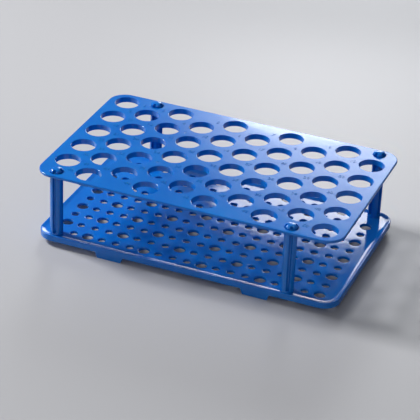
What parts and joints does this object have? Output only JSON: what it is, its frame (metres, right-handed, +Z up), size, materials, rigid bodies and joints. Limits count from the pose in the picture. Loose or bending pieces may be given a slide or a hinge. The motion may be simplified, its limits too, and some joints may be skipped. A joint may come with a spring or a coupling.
{
  "type": "test tube rack",
  "caption": "Two-tier plastic test-tube rack: a plate with staggered round tube holes held by four posts above a perforated tray.",
  "frame": {"origin": "bottom centre, on the table under the middle of the rack", "axes": "+X along the rack's length, +Y towards its back, +Z up"},
  "size_m": [0.224, 0.1386, 0.0606],
  "materials": {
    "rack_plastic": "glossy blue injection-moulded polypropylene"
  },
  "bodies": {
    "root": {"top_plate": "rack_plastic", "base_plate": "rack_plastic", "front_left_post": "rack_plastic", "back_left_post": "rack_plastic", "front_right_post": "rack_plastic", "back_right_post": "rack_plastic"}
  },
  "joints": []
}
